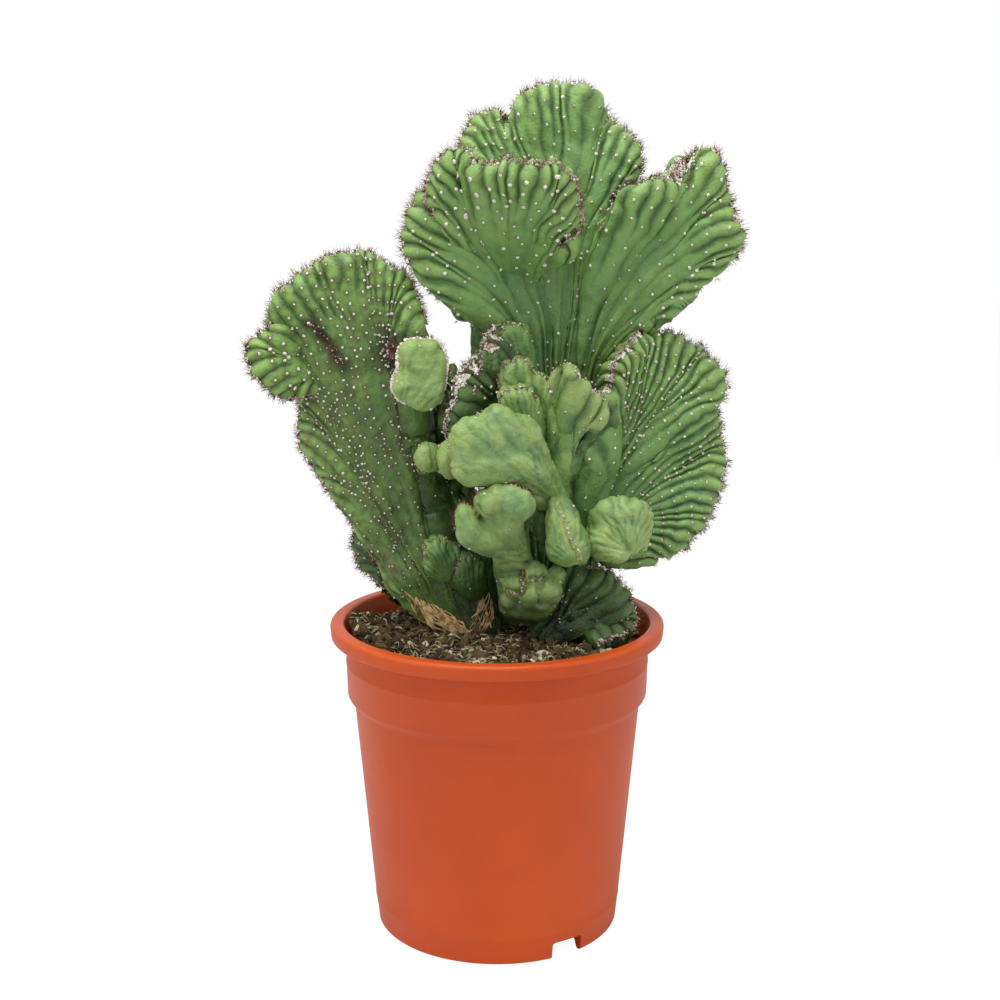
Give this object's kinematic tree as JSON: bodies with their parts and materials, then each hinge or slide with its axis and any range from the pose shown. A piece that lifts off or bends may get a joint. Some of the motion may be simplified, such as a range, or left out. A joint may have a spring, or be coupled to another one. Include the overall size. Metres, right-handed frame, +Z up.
{
  "type": "potted crested cactus",
  "caption": "Crested cactus with wavy fan-shaped stems and small pads, growing in potting mix in a round terracotta-coloured plastic nursery pot.",
  "frame": {"origin": "centre of the pot's base, on the surface it stands on", "axes": "+Z up along the pot's axis; -Y towards the side where the front lobes lean; +X to the right of that view"},
  "size_m": [0.2397, 0.17, 0.426],
  "materials": {
    "pot_plastic": "satin",
    "potting_mix": "matte",
    "stem_skin": "satin",
    "young_skin": "satin"
  },
  "bodies": {
    "root": {"pot": "pot_plastic", "potting_mix": "potting_mix", "left_crest": "stem_skin", "upper_crest": "stem_skin", "right_crest": "stem_skin", "base_fan": "stem_skin", "centre_fan": "stem_skin", "edge_crest": "stem_skin", "mid_lobe": "stem_skin", "low_lobe": "stem_skin", "finger_bud": "stem_skin", "stem_bud": "stem_skin", "inner_twin": "stem_skin", "outer_twin": "stem_skin", "lower_gap_bud": "stem_skin", "left_shade_bud": "stem_skin", "right_shade_bud": "stem_skin", "rear_lobe": "stem_skin", "front_pad": "young_skin", "forked_pad": "young_skin", "clam_pad": "young_skin", "folded_pad": "young_skin", "round_pad": "young_skin", "knob_crest": "young_skin", "upper_gap_bud": "young_skin"}
  },
  "joints": []
}
